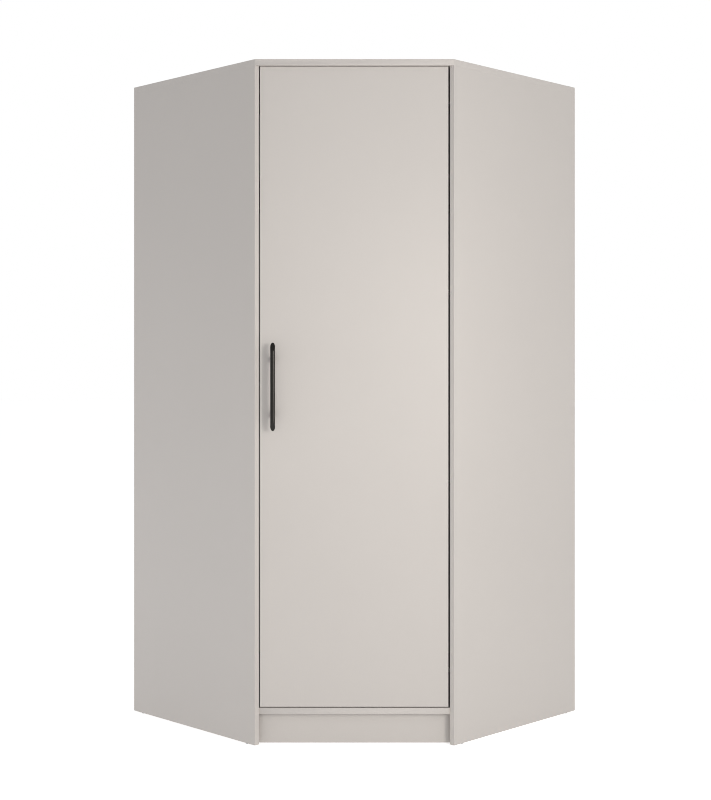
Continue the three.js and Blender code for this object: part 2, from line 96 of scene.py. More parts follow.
# ------------------------------------------------------------------ materials
class Nodes:
    """A small helper that lays out one material's nodes."""

    def __init__(self, name):
        self.mat = bpy.data.materials.new(name)
        self.mat.use_nodes = True
        self.tree = self.mat.node_tree
        self.bsdf = self.tree.nodes["Principled BSDF"]
        self.coord = self.add("ShaderNodeTexCoord").outputs["Object"]

    def add(self, kind, **props):
        n = self.tree.nodes.new(kind)
        for k, v in props.items():
            setattr(n, k, v)
        return n

    def link(self, a, b):
        self.tree.links.new(a, b)

    def stretched(self, x, y, z):
        m = self.add("ShaderNodeMapping")
        m.inputs["Scale"].default_value = (x, y, z)
        self.link(self.coord, m.inputs["Vector"])
        return m.outputs["Vector"]

    def noise(self, scale, detail=2.0, rough=0.5, vector=None, distortion=0.0):
        n = self.add("ShaderNodeTexNoise")
        n.inputs["Scale"].default_value = scale
        n.inputs["Detail"].default_value = detail
        n.inputs["Roughness"].default_value = rough
        n.inputs["Distortion"].default_value = distortion
        self.link(vector or self.coord, n.inputs["Vector"])
        return n.outputs["Fac"]

    def voronoi(self, scale, vector=None, feature="F1"):
        n = self.add("ShaderNodeTexVoronoi", feature=feature)
        n.inputs["Scale"].default_value = scale
        self.link(vector or self.coord, n.inputs["Vector"])
        return n

    def ramp(self, fac, stops):
        r = self.add("ShaderNodeValToRGB")
        e = r.color_ramp.elements
        while len(e) < len(stops):
            e.new(0.5)
        for el, (pos, col) in zip(e, stops):
            el.position = pos
            el.color = (*col, 1) if len(col) == 3 else col
        self.link(fac, r.inputs["Fac"])
        return r.outputs["Color"]

    def remap(self, fac, a, b, c, d):
        m = self.add("ShaderNodeMapRange")
        for name, v in zip(("From Min", "From Max", "To Min", "To Max"), (a, b, c, d)):
            m.inputs[name].default_value = v
        self.link(fac, m.inputs["Value"])
        return m.outputs["Result"]

    def mix(self, fac, a, b, blend="MIX"):
        m = self.add("ShaderNodeMix", data_type="RGBA", blend_type=blend)
        if isinstance(fac, (int, float)):
            m.inputs["Factor"].default_value = fac
        else:
            self.link(fac, m.inputs["Factor"])
        for sock, v in ((m.inputs[6], a), (m.inputs[7], b)):
            if isinstance(v, tuple):
                sock.default_value = (*v, 1) if len(v) == 3 else v
            else:
                self.link(v, sock)
        return m.outputs[2]

    def add_values(self, a, b, op="ADD"):
        m = self.add("ShaderNodeMath", operation=op)
        for sock, v in zip(m.inputs, (a, b)):
            if isinstance(v, (int, float)):
                sock.default_value = v
            else:
                self.link(v, sock)
        return m.outputs[0]

    def bump(self, height, strength, distance, normal=None):
        b = self.add("ShaderNodeBump")
        b.inputs["Strength"].default_value = strength
        b.inputs["Distance"].default_value = distance
        self.link(height, b.inputs["Height"])
        if normal is not None:
            self.link(normal, b.inputs["Normal"])
        return b.outputs["Normal"]

    def out(self, color=None, rough=None, normal=None, **fixed):
        b = self.bsdf
        if color is not None:
            if isinstance(color, tuple):
                b.inputs["Base Color"].default_value = (*color, 1)
            else:
                self.link(color, b.inputs["Base Color"])
        if rough is not None:
            if isinstance(rough, (int, float)):
                b.inputs["Roughness"].default_value = rough
            else:
                self.link(rough, b.inputs["Roughness"])
        if normal is not None:
            self.link(normal, b.inputs["Normal"])
        for k, v in fixed.items():
            b.inputs[k.replace("_", " ")].default_value = v
        return self.mat


TONE = (0.4615, 0.4305, 0.405)  # warm grey-beige board


def shade(c, k):
    return tuple(v * k for v in c)


def make_laminate(name, tone, rough=0.52, grain=1.0):
    """Smooth matt melamine: a very fine pore, a slow drift of tone and a slightly uneven sheen."""
    n = Nodes(name)
    drift = n.noise(2.3, 2.0)
    fine = n.noise(620.0, 3.0, 0.6)
    color = n.mix(n.remap(drift, 0.3, 0.7, 0.0, 1.0), shade(tone, 0.992), shade(tone, 1.008))
    color = n.mix(
        n.remap(fine, 0.35, 0.65, 0.0, 1.0), color, n.mix(1.0, color, (0.975, 0.972, 0.97), "MULTIPLY")
    )
    r = n.remap(n.noise(38.0, 3.0), 0.3, 0.7, rough - 0.025, rough + 0.025)
    pores = n.noise(1500.0, 2.0, 0.55)
    waves = n.noise(55.0, 1.0)
    normal = n.bump(waves, 0.06 * grain, 0.0004)
    normal = n.bump(pores, 0.10 * grain, 0.00012, normal)
    return n.out(color, r, normal, IOR=1.47, Specular_IOR_Level=0.45)


def make_chipboard(name):
    """Raw particle board: pressed flakes of several browns with fine pits."""
    n = Nodes(name)
    v = n.voronoi(420.0, n.stretched(1.0, 1.0, 2.2))
    flakes = n.ramp(
        v.outputs["Color"],
        [(0.0, (0.20, 0.125, 0.065)), (0.35, (0.36, 0.25, 0.145)), (0.7, (0.50, 0.37, 0.23)), (1.0, (0.60, 0.47, 0.31))],
    )
    dust = n.noise(900.0, 4.0, 0.7)
    color = n.mix(n.remap(dust, 0.3, 0.7, 0.0, 0.5), flakes, (0.42, 0.31, 0.20))
    normal = n.bump(v.outputs["Distance"], 0.5, 0.0005)
    normal = n.bump(dust, 0.35, 0.0004, normal)
    return n.out(color, 0.86, normal, Specular_IOR_Level=0.25)


def make_hardboard(name, a, b, fibre, rough, lines=0.4):
    """Thin pressed fibre sheet; the inner face is printed pale, the outer one is bare."""
    n = Nodes(name)
    f1 = n.noise(260.0, 5.0, 0.7, n.stretched(1.0, 1.0, 0.35), 0.4)
    f2 = n.noise(30.0, 3.0, 0.6)
    color = n.mix(n.remap(f1, 0.3, 0.7, 0.0, 1.0), a, b)
    color = n.mix(n.remap(f2, 0.35, 0.7, 0.0, 0.35), color, fibre)
    normal = n.bump(f1, lines, 0.0003)
    return n.out(color, n.remap(f2, 0.3, 0.7, rough - 0.05, rough + 0.05), normal, Specular_IOR_Level=0.3)


def make_black(name):
    """Satin black metal with a fine powdery grain."""
    n = Nodes(name)
    fine = n.noise(2600.0, 2.0, 0.6)
    slow = n.noise(90.0, 3.0)
    color = n.mix(n.remap(slow, 0.3, 0.7, 0.0, 1.0), (0.0029, 0.0026, 0.0022), (0.0045, 0.0041, 0.0034))
    rough = n.remap(slow, 0.3, 0.7, 0.31, 0.36)
    normal = n.bump(fine, 0.10, 0.00008)
    return n.out(color, rough, normal, IOR=1.5, Specular_IOR_Level=0.31, Specular_Tint=(1.0, 0.955, 0.885, 1.0))


def make_metal(name, tone, low, high, along=(1.0, 1.0, 1.0), scale=500.0, strength=0.12):
    """Plated steel: drawn or pressed, with faint lines and cloudy gloss."""
    n = Nodes(name)
    lines = n.noise(scale, 4.0, 0.65, n.stretched(*along))
    cloud = n.noise(60.0, 3.0)
    color = n.mix(n.remap(cloud, 0.3, 0.7, 0.0, 1.0), shade(tone, 0.94), tone)
    rough = n.remap(lines, 0.3, 0.7, low, high)
    normal = n.bump(lines, strength, 0.00006)
    return n.out(color, rough, normal, Metallic=1.0)


def make_plastic(name, tone, rough):
    """Moulded plastic with a fine spark-eroded grain."""
    n = Nodes(name)
    grain = n.noise(1800.0, 3.0, 0.6)
    slow = n.noise(70.0, 2.0)
    color = n.mix(n.remap(slow, 0.3, 0.7, 0.0, 1.0), shade(tone, 0.96), tone)
    normal = n.bump(grain, 0.15, 0.0001)
    return n.out(color, n.remap(slow, 0.3, 0.7, rough - 0.04, rough + 0.04), normal, Specular_IOR_Level=0.45)


M = {
    "board": make_laminate("board_laminate", TONE),
    "door": make_laminate("door_laminate", TONE),
    "band": make_laminate("edge_band", shade(TONE, 1.01), 0.46, 0.6),
    "chip": make_chipboard("raw_particle_board"),
    "hdf_in": make_hardboard("back_inner_print", (0.52, 0.49, 0.455), (0.50, 0.47, 0.435), (0.47, 0.44, 0.40), 0.6, 0.12),
    "hdf_out": make_hardboard("back_outer_fibre", (0.30, 0.185, 0.10), (0.37, 0.24, 0.14), (0.24, 0.145, 0.08), 0.78, 0.45),
    "black": make_black("satin_black"),
    "nickel": make_metal("nickel_plate", (0.70, 0.68, 0.64), 0.24, 0.32),
    "dark_nickel": make_metal("black_nickel", (0.125, 0.120, 0.113), 0.30, 0.38, (1.0, 1.0, 0.2), 700.0, 0.10),
    "rail": make_metal("rail_nickel", (0.74, 0.72, 0.69), 0.20, 0.30, (0.03, 1.0, 1.0), 900.0, 0.15),
    "zinc": make_metal("zinc_plate", (0.60, 0.61, 0.62), 0.34, 0.46),
    "white": make_plastic("pale_plastic", (0.64, 0.62, 0.59), 0.45),
    "dark": make_plastic("dark_plastic", (0.035, 0.034, 0.033), 0.5),
    # painted shade: a near-black colour that stands for the shade inside a screw's recess
    "recess_shade": make_plastic("screw_recess_painted_shade", (0.02, 0.02, 0.021), 0.6),
}


# ------------------------------------------------------------------ mesh helpers
def prism(outline, z0, z1):
    bm = bmesh.new()
    lo = [bm.verts.new((x, y, z0)) for x, y in outline]
    hi = [bm.verts.new((x, y, z1)) for x, y in outline]
    n = len(outline)
    bm.faces.new(lo[::-1])
    bm.faces.new(hi)
    for i in range(n):
        bm.faces.new((lo[i], lo[(i + 1) % n], hi[(i + 1) % n], hi[i]))
    bmesh.ops.recalc_face_normals(bm, faces=bm.faces)
    return bm


def box(x0, x1, y0, y1, z0, z1):
    return prism([(x0, y0), (x1, y0), (x1, y1), (x0, y1)], z0, z1)


def lathe(profile, n=48):
    """A closed solid turned about Z; the profile is (radius, height) from axis to axis."""
    bm = bmesh.new()
    rings = []
    for r, h in profile:
        if r < 1e-6:
            rings.append([bm.verts.new((0, 0, h))])
        else:
            rings.append(
                [bm.verts.new((r * math.cos(2 * math.pi * i / n), r * math.sin(2 * math.pi * i / n), h)) for i in range(n)]
            )
    for a, b in zip(rings, rings[1:]):
        if len(a) == 1 and len(b) == 1:
            continue
        for i in range(n):
            j = (i + 1) % n
            if len(a) == 1:
                bm.faces.new((a[0], b[j], b[i]))
            elif len(b) == 1:
                bm.faces.new((a[i], a[j], b[0]))
            else:
                bm.faces.new((a[i], a[j], b[j], b[i]))
    bmesh.ops.recalc_face_normals(bm, faces=bm.faces)
    return bm


def bevel_sharp(bm, radius_of, segments=3, limit=50.0):
    """Rounds every edge sharper than limit by radius_of(mid point, normal a, normal b), the large radii first."""
    done = set()
    while True:
        groups = {}
        for e in bm.edges:
            if len(e.link_faces) != 2:
                continue
            a, b = e.link_faces
            if a.normal.angle(b.normal, 0.0) < math.radians(limit):
                continue
            r = radius_of((e.verts[0].co + e.verts[1].co) / 2, a.normal, b.normal)
            if r > 0 and round(r, 4) not in done:
                groups.setdefault(round(r, 4), []).append(e)
        if not groups:
            return bm
        r = max(groups)
        done.add(r)
        bmesh.ops.bevel(
            bm,
            geom=groups[r],
            offset=r,
            offset_type="OFFSET",
            segments=segments,
            profile=0.5,
            affect="EDGES",
            clamp_overlap=True,
            material=-1,
        )


def round_all(bm, r, segments=2, limit=50.0):
    return bevel_sharp(bm, lambda m, a, b: r, segments, limit)


def merged(*parts):
    """One mesh builder holding several; each part may be (bmesh, matrix)."""
    out = bmesh.new()
    for p in parts:
        bm, mx = p if isinstance(p, tuple) else (p, None)
        me = bpy.data.meshes.new("tmp")
        bm.to_mesh(me)
        if mx is not None:
            me.transform(mx)
            if mx.determinant() < 0:
                me.flip_normals()
        out.from_mesh(me)
        bpy.data.meshes.remove(me)
    return out


def boolean(bm, cutters, operation="DIFFERENCE"):
    """bm cut by (or joined with) each cutter in turn; returns a new builder."""
    for cutter in cutters:
        ma, mb = bpy.data.meshes.new("tmp_a"), bpy.data.meshes.new("tmp_b")
        bm.to_mesh(ma)
        cutter.to_mesh(mb)
        a, b = bpy.data.objects.new("tmp_a", ma), bpy.data.objects.new("tmp_b", mb)
        for i in range(3):
            ma.materials.append(None)
            mb.materials.append(None)
        scene.collection.objects.link(a)
        scene.collection.objects.link(b)
        mod = a.modifiers.new("cut", "BOOLEAN")
        mod.operation, mod.solver, mod.object = operation, "EXACT", b
        made = bpy.data.meshes.new_from_object(a.evaluated_get(bpy.context.evaluated_depsgraph_get()))
        bpy.data.objects.remove(a)
        bpy.data.objects.remove(b)
        bm = bmesh.new()
        bm.from_mesh(made)
        for me in (ma, mb, made):
            bpy.data.meshes.remove(me)
    return bm


def rod(r, p, q, n=40):
    """A plain round cutter from point p to point q."""
    p, q = Vector(p), Vector(q)
    return merged((lathe([(0, 0), (r, 0), (r, (q - p).length), (0, (q - p).length)], n), aim(p, q - p)))


def aim(origin, direction, spin=0.0):
    """A matrix that stands a piece built along +Z on origin, pointing along direction."""
    rot = Vector(direction).to_track_quat("Z", "Y").to_matrix().to_4x4()
    return Matrix.Translation(origin) @ rot @ Matrix.Rotation(spin, 4, "Z")


def piece(name, bm, place, mats, body, slot, *nodes, flat=False, angle=35.0):
    """Turns a builder into a finished piece that rides on a body and stands for CAD nodes."""
    bmesh.ops.remove_doubles(bm, verts=bm.verts, dist=2e-3)
    for f in bm.faces:
        f.smooth = True
    for e in bm.edges:
        if len(e.link_faces) == 2:
            e.smooth = e.link_faces[0].normal.angle(e.link_faces[1].normal, 0.0) < math.radians(angle)
    me = bpy.data.meshes.new(name)
    bm.to_mesh(me)
    bm.free()
    me.transform(place)
    if place.determinant() < 0:
        me.flip_normals()
    for m in mats:
        me.materials.append(M[m])
    o = bpy.data.objects.new(name, me)
    scene.collection.objects.link(o)
    if not flat:
        wn = o.modifiers.new("weighted", "WEIGHTED_NORMAL")
        wn.keep_sharp = True
        wn.weight = 50
    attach(o, body)
    if nodes:
        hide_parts(*nodes)
    return o


def board(name, outline, z0, z1, place, face_kind, radius_of, mats, body, slot, node, holes=(), ring=1.1):
    """A particle board with laminate on its faces (0), bands (1) and raw sides (2), and rounded arrises."""
    bm = prism(outline, z0, z1)
    for f in bm.faces:
        f.material_index = face_kind(f.calc_center_median(), f.normal)
    broad = [f for f in bm.faces if f.material_index == 0]
    if ring:
        made = bmesh.ops.inset_individual(bm, faces=broad, thickness=ring, use_even_offset=True)
        rims = set(made["faces"]) - set(broad)
        for f in rims:
            around = {g.material_index for e in f.edges for g in e.link_faces if g is not f and g not in rims and g not in broad}
            f.material_index = 1 if 1 in around else 0
    bm.normal_update()
    bevel_sharp(bm, radius_of)
    if holes:
        for h in holes:
            for f in h.faces:
                f.material_index = 2
        bm = boolean(bm, holes)
    return piece(name, bm, place, mats, body, slot, node)


# ------------------------------------------------------------------ boards
def pentagon(front_y, inner, play, rear_cut=0.0):
    wall = CORNER_Y - (BACK_ZONE + play) * math.sqrt(2)
    side_y = (wall - inner) / 2
    right = [(inner + front_y, front_y), (inner + side_y, side_y)]
    if rear_cut:
        y = CORNER_Y - rear_cut * S
        rear = [(wall - y, y), (-(wall - y), y)]
    else:
        rear = [(0, wall)]
    return right + rear + [(-x, y) for x, y in reversed(right)]


def flat_kind(front_band=True, side_band=False):
    """Laminate above and below, a band on the front (and the sides), raw particle board elsewhere."""

    def kind(c, n):
        if abs(n.z) > 0.9:
            return 0
        if n.y < -0.95:
            return 1
        if n.y < -0.3:
            return 1 if side_band else 2
        return 2

    return kind


CLEAR = GAP * math.sqrt(2)
BOARD = ["board", "band", "chip"]
SMALL, ROUND = 0.22, 0.9

TO_WALL = {s: Matrix.Translation((0, CORNER_Y, 0)) @ Matrix.Rotation(math.radians(-45 if s > 0 else -135), 4, "Z") for s in (-1, 1)}
board(
    "top_board", pentagon(0, FRONT_X, -BACK_ZONE), TOP_Z, HEIGHT, PLAN, flat_kind(True, True),
    lambda m, a, b: ROUND if (a.y < -0.95 or b.y < -0.95) or (m.z > HEIGHT - 0.1 and min(a.y, b.y) < -0.3) else SMALL,
    BOARD, "carcass", "carcass_board", "top_panel",
    holes=[
        merged((box(-5, LEG - LIP, *sorted((s * 5, -s * (BACK_ZONE + 0.2))), TOP_Z - 1, TOP_Z + TOP_REBATE), TO_WALL[s]))
        for s in (-1, 1)
    ],
)


def side_point(sign, along, inward):
    return sign * (FRONT_X + (along - inward) * S), (along + inward) * S


cam_spots = {
    f"bottom_cam_{s}_{w}": side_point(SIGNS[s], a, SIDE_T + CAM_FROM_EDGE)
    for s in SIGNS
    for w, a in (("front", 70.0), ("rear", 500.0))
}
board(
    "bottom_board", pentagon(FACE_Y, INNER - CLEAR, 0.2), BOTTOM_Z, FLOOR_Z, PLAN, flat_kind(),
    lambda m, a, b: ROUND if min(a.y, b.y) < -0.95 else SMALL,
    BOARD, "carcass", "carcass_board", "bottom_panel",
    holes=[rod(CAM_R + GAP, (x, y, BOTTOM_Z - 1), (x, y, BOTTOM_Z + CAM_DEPTH + GAP)) for x, y in cam_spots.values()],
)

shelf_cams = {
    f"shelf_cam_{s}_{w}": side_point(SIGNS[s], a, SIDE_T + CAM_FROM_EDGE)
    for s in SIGNS
    for w, a in (("front", 110.0), ("rear", 500.0))
}
SHELF_LOW = SHELF_TOP - SIDE_T
board(
    "hat_shelf_board", pentagon(SHELF_FRONT, INNER - CLEAR, 0.2, STILE_W + BACK_ZONE + SIDE_T + 1), SHELF_LOW, SHELF_TOP,
    PLAN, flat_kind(), lambda m, a, b: ROUND if min(a.y, b.y) < -0.95 else SMALL,
    BOARD, "carcass", "carcass_board", "hat_shelf",
    holes=[rod(CAM_R + GAP, (x, y, SHELF_LOW - 1), (x, y, SHELF_LOW + CAM_DEPTH + GAP)) for x, y in shelf_cams.values()],
)


def upright_kind(broad, band):
    """For a board that stands on edge: broad and band are tests on a face's normal."""
    return lambda c, n: 0 if broad(n) else (1 if band(n) else 2)


def plinth_x(y):
    return INNER - CLEAR + y


p0, p1 = PLINTH_SETBACK, PLINTH_SETBACK + SIDE_T
board(
    "plinth_board", [(-plinth_x(p0), p0), (plinth_x(p0), p0), (plinth_x(p1), p1), (-plinth_x(p1), p1)],
    GLIDE_H, BOTTOM_Z, PLAN, upright_kind(lambda n: abs(n.y) > 0.9, lambda n: n.z < -0.9),
    lambda m, a, b: SMALL, BOARD, "carcass", "carcass_board", "plinth_front",
)
board(
    "plinth_brace_board", [(-8, p1 + GAP), (8, p1 + GAP), (8, 1060), (-8, 1060)], GLIDE_H, BOTTOM_Z, PLAN,
    upright_kind(lambda n: abs(n.x) > 0.9, lambda n: n.z < -0.9),
    lambda m, a, b: SMALL, BOARD, "carcass", "carcass_board", "plinth_brace",
)

TOP_CAM_Z = TOP_Z - CAM_FROM_EDGE
TOP_CAM_X = {"front": 70.0, "rear": 515.0}
for side, s in SIGNS.items():
    board(
        f"side_board_{side}",
        [(0, 0), (DEPTH, 0), (DEPTH, s * LIP), (DEPTH - BACK_ZONE, s * LIP), (DEPTH - BACK_ZONE, s * SIDE_T), (0, s * SIDE_T)],
        GLIDE_H, TOP_Z, SIDE[s],
        lambda c, n: 2 if abs(n.y) > 0.9 and c.x > DEPTH - BACK_ZONE else 0 if abs(n.y) > 0.9 else 1 if n.x < -0.9 or n.z < -0.9 else 2,
        lambda m, a, b: 0.35 if min(a.x, b.x) < -0.9 and abs(m.z - TOP_Z) > 1 else SMALL,
        BOARD, "carcass", "carcass_board", f"side_panel_{side}",
        holes=[
            rod(CAM_R + GAP, (x, s * (SIDE_T - CAM_DEPTH - GAP), TOP_CAM_Z), (x, s * (SIDE_T + 1), TOP_CAM_Z))
            for x in TOP_CAM_X.values()
        ],
        ring=1.4,
    )
    a, b = (BACK_ZONE + GAP if s < 0 else BACK_ZONE + SIDE_T + 2 * GAP), STILE_W
    t0, t1 = -s * (BACK_ZONE + 0.1), -s * (BACK_ZONE + 0.1 + SIDE_T)
    board(
        f"corner_stile_board_{side}", [(a, t0), (b, t0), (b, t1), (a, t1)], FLOOR_Z, TOP_Z, WALL[s],
        upright_kind(lambda n: abs(n.y) > 0.9, lambda n: n.x > 0.9),
        lambda m, a, b: 0.6 if max(a.x, b.x) > 0.9 else SMALL, BOARD, "carcass", "carcass_board", f"corner_stile_{side}",
    )

# ------------------------------------------------------------------ door board
cup_holes = [rod(CUP_R + GAP, (CUP_X, DOOR_BACK - CUP_DEPTH - GAP, z), (CUP_X, DOOR_BACK + 1, z), 64) for z in HINGE_Z.values()]
screw_holes = [rod(2.4, (HANDLE_X, FACE_Y - 1, z), (HANDLE_X, DOOR_BACK + 1, z), 24) for z in POST_Z.values()]
board(
    "door_board", [(DOOR_LEFT, FACE_Y), (DOOR_RIGHT, FACE_Y), (DOOR_RIGHT, DOOR_BACK), (DOOR_LEFT, DOOR_BACK)],
    DOOR_LOW, DOOR_HIGH, PLAN, upright_kind(lambda n: abs(n.y) > 0.9, lambda n: True),
    lambda m, a, b: 0.4, ["door", "band", "chip"], "door", "door_board", "door_panel", holes=[merged(*cup_holes, *screw_holes)], ring=1.4,
)

# ------------------------------------------------------------------ back sheets, joining strips, nails
for side, s in SIGNS.items():
    u0, u1 = (BACK_INSET + 0.1 if s < 0 else BACK_ZONE + 0.1), LEG - LIP - GAP
    v0, v1 = -s * BACK_INSET, -s * (BACK_INSET + BACK_T)
    for where, z0, z1 in (("lower", BOTTOM_Z + 2, MID_Z - 0.9), ("upper", MID_Z + 0.9, TOP_Z + TOP_REBATE - 0.5)):
        # the wall is at Y = 0 of the wall's own frame, the sheet's outer face just in front of it
        board(
            f"back_hardboard_{side}_{where}", [(u0, v0), (u1, v0), (u1, v1), (u0, v1)], z0, z1, WALL[s],
            lambda c, n, s=s: 0 if n.y * -s > 0.9 else 1,
            lambda m, a, b: 0.15, ["hdf_in", "hdf_out", "hdf_out"], "carcass", "hardboard", f"back_sheet_{side}_{where}", ring=0,
        )
    h = [(-1.1, -7), (-0.2, -7), (-0.2, -0.6), (2.9, -0.6), (2.9, -7), (3.8, -7), (3.8, 7), (2.9, 7), (2.9, 0.6), (-0.2, 0.6), (-0.2, 7), (-1.1, 7)]
    run = Matrix(((0, 0, 1, 0), (-s, 0, 0, 0), (0, 1, 0, 0), (0, 0, 0, 1)))
    strip = round_all(prism(h, 0, LEG - SIDE_T - 1 - (STILE_W + 1)), 0.2, 2)
    piece(
        f"joining_strip_{side}", strip, WALL[s] @ Matrix.Translation((STILE_W + 1, v0, MID_Z)) @ run, ["white"],
        "carcass", "pale_plastic", f"back_joining_strip_{side}",
    )
    nail = lathe([(0, 0.0), (2.6, 0.0), (2.6, 0.25), (2.2, 0.5), (0.9, 0.62), (0, 0.64)], 16)
    spots = [(LEG - SIDE_T + 4.0, z) for z in range(125, 1960, 115)]
    spots += [(40.0, z) for z in range(140, 1960, 130)]
    spots += [(u, TOP_Z + 4.5) for u in range(60, 960, 110)]
    spots += [(u, BOTTOM_Z + 9.0) for u in range(60, 960, 110)]
    spots += [(u, SHELF_TOP - 8.0) for u in range(130, 960, 140)]
    nails = merged(*[(nail, aim((u, v0 + s * 0.02, z), (0, s, 0))) for u, z in spots])
    piece(f"back_nails_{side}", nails, WALL[s], ["zinc"], "carcass", "zinc_steel")


# ------------------------------------------------------------------ small hardware
def screw_head(r, h, n=28):
    """A domed cross-head, standing on Z = 0."""
    head = lathe([(0, -0.3), (r * 0.55, -0.3), (r, 0.0), (r, h * 0.35), (r * 0.93, h * 0.62), (r * 0.7, h * 0.88), (r * 0.35, h), (0, h)], n)
    w, l = r * 0.17, r * 0.62
    cross = [
        box(-l, l, -w, w, h * 0.35, h + 1),
        box(-w, w, -l, l, h * 0.35, h + 1),
    ]
    return boolean(head, cross)


HEADS = {"small": screw_head(3.4, 1.7), "mid": screw_head(3.9, 2.0), "big": screw_head(4.2, 2.3)}


def screws(name, spots, place, body, kind="mid", slot="zinc_steel", mat="zinc", *nodes):
    """Heads at (point, outward direction, turn)."""
    return piece(name, merged(*[(HEADS[kind], aim(p, d, t)) for p, d, t in spots]), place, [mat], body, slot, *nodes)


def cam_lock():
    """The visible face of a cam lock: a turned disc with a cross slot and a rim groove, face at Z = 0."""
    disc = lathe([(0, -12.4), (CAM_R - 0.4, -12.4), (CAM_R, -12.0), (CAM_R, -0.35), (CAM_R - 0.35, 0.0), (CAM_R - 1.3, 0.0), (CAM_R - 1.5, -0.5), (CAM_R - 2.1, -0.5), (CAM_R - 2.3, -0.1), (0, -0.1)], 40)
    return boolean(disc, [box(-4.2, 4.2, -0.65, 0.65, -1.9, 1), box(-0.65, 0.65, -4.2, 4.2, -1.9, 1), box(-0.9, 0.9, 1.0, 4.6, -1.9, 1)])


CAM = cam_lock()
for name, (x, y) in cam_spots.items():
    piece(f"{name}_lock", merged((CAM, aim((x, y, BOTTOM_Z + 0.02), (0, 0, -1), 0.4))), PLAN, ["zinc"], "carcass", "zinc_steel", name)
for name, (x, y) in shelf_cams.items():
    piece(name, merged((CAM, aim((x, y, SHELF_LOW + 0.02), (0, 0, -1), 1.1))), PLAN, ["zinc"], "carcass", "zinc_steel")
for side, s in SIGNS.items():
    for where, x in TOP_CAM_X.items():
        lock = merged((CAM, aim((x, s * (SIDE_T - 0.02), TOP_CAM_Z), (0, s, 0), 0.7)))
        piece(f"top_cam_{side}_{where}_lock", lock, SIDE[s], ["zinc"], "carcass", "zinc_steel", f"top_cam_{side}_{where}")


def glide():
    r = SIDE_T / 2 - 1
    return lathe([(0, 0), (r - 0.8, 0), (r - 0.25, 0.2), (r, 0.7), (r, GLIDE_H), (0, GLIDE_H)], 40)


for side, s in SIGNS.items():
    for where, x in (("front", 40.0), ("rear", 547.0)):
        piece(f"glide_{side}_{where}", glide(), SIDE[s] @ Matrix.Translation((x, s * SIDE_T / 2, 0)), ["dark"], "carcass", "dark_plastic", f"floor_glide_{side}_{where}")
for where, y in (("front", 120.0), ("rear", 1030.0)):
    piece(f"glide_brace_{where}", glide(), PLAN @ Matrix.Translation((0, y, 0)), ["dark"], "carcass", "dark_plastic", f"floor_glide_brace_{where}")

for where, z0, z1 in (("upper", TOP_Z - 12, TOP_Z), ("lower", FLOOR_Z, FLOOR_Z + 12)):
    x0, y0 = -262.0, DOOR_BACK + 0.5
    stop = bevel_sharp(box(x0, x0 + 24, y0, y0 + 12, z0, z1), lambda m, a, b: 1.2, 3)
    piece(f"stop_block_{where}", stop, PLAN, ["white"], "carcass", "pale_plastic", f"door_stop_{where}")
    up = 1 if where == "lower" else -1
    zs = z1 if where == "lower" else z0
    screws(f"stop_screw_{where}", [((x0 + 12, y0 + 6, zs), (0, 0, up), 0.5)], PLAN, "carcass", "small")

for side, s in SIGNS.items():
    angle = [(0, 0), (40, 0), (40, -2), (2.9, -2), (2.25, -2.25), (2, -2.9), (2, -40), (0, -40)]
    run = Matrix(((0, 0, 1, 0), (-s, 0, 0, 0), (0, 1, 0, 0), (0, 0, 0, 1)))
    bm = bevel_sharp(prism(angle, -10, 10), lambda m, a, b: 0.5, 2, 60)
    at = Matrix.Translation((500, -s * (BACK_ZONE + 0.2), TOP_Z - 0.2))
    bm = boolean(bm, [rod(2.6, (30, 1, 0), (30, -4, 0), 24), rod(2.6, (-1, -28, 0), (4, -28, 0), 24)])
    piece(f"wall_angle_{side}", bm, WALL[s] @ at @ run, ["zinc"], "carcass", "zinc_steel", f"wall_bracket_{side}")
    y1 = -s * (BACK_ZONE + 0.2 + 30)
    y2 = -s * (BACK_ZONE + 0.2 + 2)
    screws(
        f"wall_angle_screws_{side}",
        [((500, y1, TOP_Z - 2.2), (0, 0, -1), 0.3), ((500, y2, TOP_Z - 28.2), (0, -s, 0), 0.9)],
        WALL[s], "carcass", "mid",
    )

# ------------------------------------------------------------------ hanging rail


def stadium(tall, thick, n=18):
    r = thick / 2
    pts = [(tall / 2 - r + r * math.cos(-math.pi / 2 + math.pi * i / n), r * math.sin(-math.pi / 2 + math.pi * i / n)) for i in range(n + 1)]
    pts += [(-(tall / 2 - r) + r * math.cos(math.pi / 2 + math.pi * i / n), r * math.sin(math.pi / 2 + math.pi * i / n)) for i in range(n + 1)]
    return pts


def hollow(outer, inner, z0, z1):
    """An extruded outline with an opening right through it; both outlines have the same number of points."""
    bm = bmesh.new()
    rings = [[bm.verts.new((x, y, z)) for x, y in pts] for pts, z in ((outer, z0), (outer, z1), (inner, z1), (inner, z0))]
    n = len(outer)
    for a, b in zip(rings, rings[1:] + rings[:1]):
        for i in range(n):
            j = (i + 1) % n
            bm.faces.new((a[i], a[j], b[j], b[i]))
    bmesh.ops.recalc_face_normals(bm, faces=bm.faces)
    return bm


